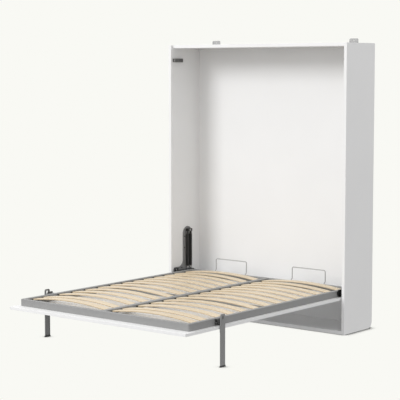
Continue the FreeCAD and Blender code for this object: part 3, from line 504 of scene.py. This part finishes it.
def plungerPlastic():
    # a dark head on a pale stem; the pale stem is a painted highlight that stands in for the lit front face
    # of the latch body
    material, tree, shader = newMaterial("plungerPlastic", plunger["head"], 0.42)
    raw = addNode(tree, "ShaderNodeTexCoord")
    parts = addNode(tree, "ShaderNodeSeparateXYZ")
    tree.links.new(raw.outputs["Object"], parts.inputs[0])
    low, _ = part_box("latch_plunger_right")
    behind = low.y + plunger["headLength"]
    amount = remap(tree, parts.outputs["Y"], behind, behind + plunger["fade"], 0, 1)
    grain = noiseField(tree, objectPlace(tree), 900, 3.0)
    shade = remap(tree, grain, 0.35, 0.7, 0, 0.6)
    head = mixColours(tree, shade, plunger["head"], plunger["headWorn"])
    stem = mixColours(tree, shade, plunger["stem"], plunger["stemWorn"])
    tree.links.new(mixColours(tree, amount, head, stem), shader.inputs["Base Color"])
    tree.links.new(remap(tree, grain, 0.3, 0.7, 0.34, 0.5), shader.inputs["Roughness"])
    addBump(tree, shader, grain, 0.25, 0.0002, 0.0005)
    return material


def makeMaterials():
    return {
        "white_board": whiteBoard(),
        "frame_steel": powderCoat("framePaint", (0.285, 0.285, 0.283), (0.38, 0.38, 0.377)),
        "leg_steel": powderCoat("legPaint", (0.27, 0.27, 0.267), (0.38, 0.38, 0.376)),
        "hinge_steel": powderCoat("hingePaint", (0.24, 0.24, 0.238), (0.34, 0.34, 0.335)),
        "arm_steel": powderCoat("armPaint", (0.02, 0.02, 0.0195), (0.06, 0.06, 0.06), 0.42),
        "cover_plastic": mouldedPlastic("coverPlastic", (0.02, 0.02, 0.02), 0.4),
        "slat_wood": slatWood(),
        "holder_plastic": mouldedPlastic("holderPlastic", (0.018, 0.018, 0.018)),
        "cylinder_black": powderCoat("springBlack", (0.008, 0.008, 0.0075), (0.03, 0.03, 0.03), 0.36, 2200),
        "rod_chrome": platedSteel("rodChrome", (0.86, 0.86, 0.87), 0.12, (400, 400, 30)),
        "zinc_steel": platedSteel("zincSteel", (0.44, 0.44, 0.436), 0.5, (60, 60, 60), 0.25),
        "fastener_steel": platedSteel("fastenerSteel", (0.55, 0.55, 0.55), 0.34, (300, 300, 300)),
        "stop_wire": powderCoat("stopPaint", (0.42, 0.42, 0.418), (0.54, 0.54, 0.537), 0.4, 2000),
        "bush_plastic": mouldedPlastic("bushNylon", (0.03, 0.03, 0.03), 0.45),
        "foot_plastic": mouldedPlastic("footPlastic", (0.04, 0.04, 0.04), 0.55),
        "latch_plastic": mouldedPlastic("latchPlastic", (0.135, 0.135, 0.133), 0.5),
        "plunger_plastic": plungerPlastic(),
        "dowel_wood": dowelWood(),
    }


def paintNodes(materials):
    # a few parts are finished apart from the rest of their kind
    # the leg brackets are painted darker than the frame: painted shade for the shadow inside the bracket
    bracketShadePaint = powderCoat("bracketShadePaint", (0.12, 0.12, 0.118), (0.22, 0.22, 0.217))
    darkSteel = powderCoat("darkSteel", (0.05, 0.05, 0.049), (0.12, 0.12, 0.118), 0.4)
    own = {
        "hinge_plate_screws": plateScrewSteel(),
        "leg_bracket_left": bracketShadePaint,
        "leg_bracket_right": bracketShadePaint,
        "leg_pins": materials["leg_steel"],
        "pivot_pins": darkSteel,
        "latch_screws": darkSteel,
    }
    for part in frame["record"]["subparts"]:
        mesh = nodes[part["node"]].data
        mesh.materials.clear()
        mesh.materials.append(own.get(part["node"], materials[part["material_slot"]]))


def finishPiece(name, shape, body, slotName, materials, smooth=True):
    bmesh.ops.remove_doubles(shape, verts=shape.verts, dist=0.00001)
    bmesh.ops.recalc_face_normals(shape, faces=shape.faces)
    for face in shape.faces:
        face.smooth = smooth
    piece = meshObject(name, shape)
    piece.data.materials.append(materials[slotName])
    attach(piece, body)
    return piece


seal = {
    "clear": 0.0004,
    "lip": 0.0075,
    "rim": 0.0088,
    "height": 0.0045,
    "ring": 0.0012,
    "lipWidth": 0.0008,
    "lipRound": 0.0006,
    "steps": 40,
    "forkReach": 0.002,
    "forkDepth": 0.02,
}


def springCentres(side):
    # the middle of each cylinder, from the box of the pair
    low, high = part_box("gas_cylinders_" + side)
    radius = (high.x - low.x) / 2
    across = (low.x + high.x) / 2
    return [(across, low.y + radius), (across, high.y - radius)], low.z


def addSeal(shape, centre, bottom):
    # a rubber wiper with a rounded lip, turned round the rod where it leaves the cylinder
    inner = rodRadius() + seal["clear"]
    lipHeight = bottom - seal["height"]
    outline = [
        (inner, bottom),
        (inner, lipHeight),
        (inner + seal["lipWidth"], lipHeight - seal["lipRound"]),
        (seal["lip"], lipHeight + seal["lipRound"]),
        (seal["rim"], bottom - seal["ring"]),
        (seal["rim"], bottom),
    ]
    corners = [shape.verts.new((centre[0] + reach, centre[1], height)) for reach, height in outline]
    edges = [shape.edges.new(pair) for pair in zip(corners, corners[1:] + corners[:1])]
    bmesh.ops.spin(shape, geom=corners + edges, cent=(centre[0], centre[1], 0), axis=(0, 0, 1),
                   angle=2 * math.pi, steps=seal["steps"], use_merge=True, use_duplicate=False)


def rodRadius():
    # the rod is the narrow part just above the fork that holds it
    low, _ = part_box("gas_rods_right")
    corners = nodes["gas_rods_right"].data.vertices
    ring = [corner.co for corner in corners if corner.co.z < low.z + seal["forkReach"]]
    front = min(point.y for point in ring)
    back = max(point.y for point in ring if point.y < front + seal["forkDepth"])
    return (back - front) / 2


def makeSeals(materials):
    for side in sides:
        centres, bottom = springCentres(side)
        shape = bmesh.new()
        for centre in centres:
            addSeal(shape, centre, bottom)
        finishPiece("rodSeals_" + side, shape, "gas_cylinders_" + side, "foot_plastic", materials)


weld = {
    "radius": 0.0026,
    "thinRadius": 0.002,
    "pitch": 0.0034,
    "ripple": 0.82,
    "endSize": 0.5,
    "sides": 10,
    "inset": 0.004,
    "tuck": 0.0008,
}


def addWeld(shape, start, end, radius=weld["radius"]):
    # a rippled bead: a ring drawn out in short steps that swell and narrow
    start, end = Vector(start), Vector(end)
    run = end - start
    steps = max(4, 2 * round(run.length / weld["pitch"]))
    turn = run.to_track_quat("Z", "Y").to_matrix().to_4x4()
    ring = bmesh.ops.create_circle(shape, cap_ends=False, segments=weld["sides"],
                                   radius=radius * weld["endSize"],
                                   matrix=Matrix.Translation(start) @ turn)["verts"]
    edges = [edge for edge in shape.edges if edge.verts[0] in ring and edge.verts[1] in ring]
    bmesh.ops.contextual_create(shape, geom=edges)
    size = weld["endSize"]
    for step in range(1, steps + 1):
        grown = bmesh.ops.extrude_edge_only(shape, edges=edges)["geom"]
        ring = [part for part in grown if isinstance(part, bmesh.types.BMVert)]
        edges = [part for part in grown if isinstance(part, bmesh.types.BMEdge)
                 and part.verts[0] in ring and part.verts[1] in ring]
        bmesh.ops.translate(shape, verts=ring, vec=run / steps)
        wanted = weld["endSize"] if step == steps else (1.0 if step % 2 else weld["ripple"])
        middle = start + run * step / steps
        bmesh.ops.scale(shape, verts=ring, vec=(wanted / size,) * 3, space=Matrix.Translation(-middle))
        size = wanted
    bmesh.ops.contextual_create(shape, geom=edges)


def makeWelds(materials):
    low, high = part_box("side_rail_right")
    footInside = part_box("foot_rail")[1].y
    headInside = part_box("head_rail")[0].y
    beamLow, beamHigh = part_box("centre_beam")
    barLow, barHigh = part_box("cross_bar")
    inset = weld["inset"]
    shape = bmesh.new()
    for x in (low.x, -low.x):   # upright beads in the four inner corners
        for y in (footInside, headInside):
            addWeld(shape, (x, y, low.z + inset), (x, y, high.z - inset))
        for y in (barLow.y, barHigh.y):   # the cross bar's ends
            addWeld(shape, (x, y, barLow.z + inset), (x, y, barHigh.z - inset))
    for x in (beamLow.x, beamHigh.x):   # the centre beam's ends
        for y in (beamLow.y, beamHigh.y):
            addWeld(shape, (x, y, beamLow.z + inset), (x, y, beamHigh.z - inset))
    for y in (barLow.y - weld["tuck"], barHigh.y + weld["tuck"]):   # where the beam rests on the cross bar
        addWeld(shape, (beamLow.x + inset, y, barHigh.z), (beamHigh.x - inset, y, barHigh.z),
                weld["thinRadius"])
    finishPiece("frameWelds", shape, "bed", "frame_steel", materials)


makeCamera()
makeStudio()
print("stage: camera, light and floor are set")
materials = makeMaterials()
paintNodes(materials)
print("stage: materials are on the parts")
makeSeals(materials)
makeWelds(materials)
print("stage: seals and welds are made")
